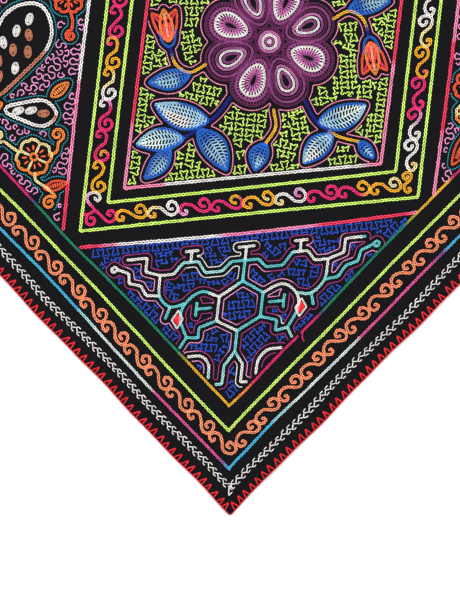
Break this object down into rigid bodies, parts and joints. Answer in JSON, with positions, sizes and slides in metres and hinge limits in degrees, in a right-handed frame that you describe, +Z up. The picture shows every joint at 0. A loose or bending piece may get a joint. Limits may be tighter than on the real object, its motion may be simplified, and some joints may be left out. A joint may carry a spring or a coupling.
{
  "type": "embroidered cloth",
  "caption": "Flat rectangular black cotton cloth sewn in bright chain stitch, with bands round the border, a rhombic middle panel, corner panels and a red stitched edge.",
  "frame": {"origin": "middle of the flat underside", "axes": "+X along the long sides, +Y across them, +Z up out of the embroidered face"},
  "size_m": [0.7138, 0.6017, 0.0031],
  "materials": {
    "embroidered_cotton": "matt"
  },
  "bodies": {
    "root": {"cloth": "embroidered_cotton"}
  },
  "joints": []
}
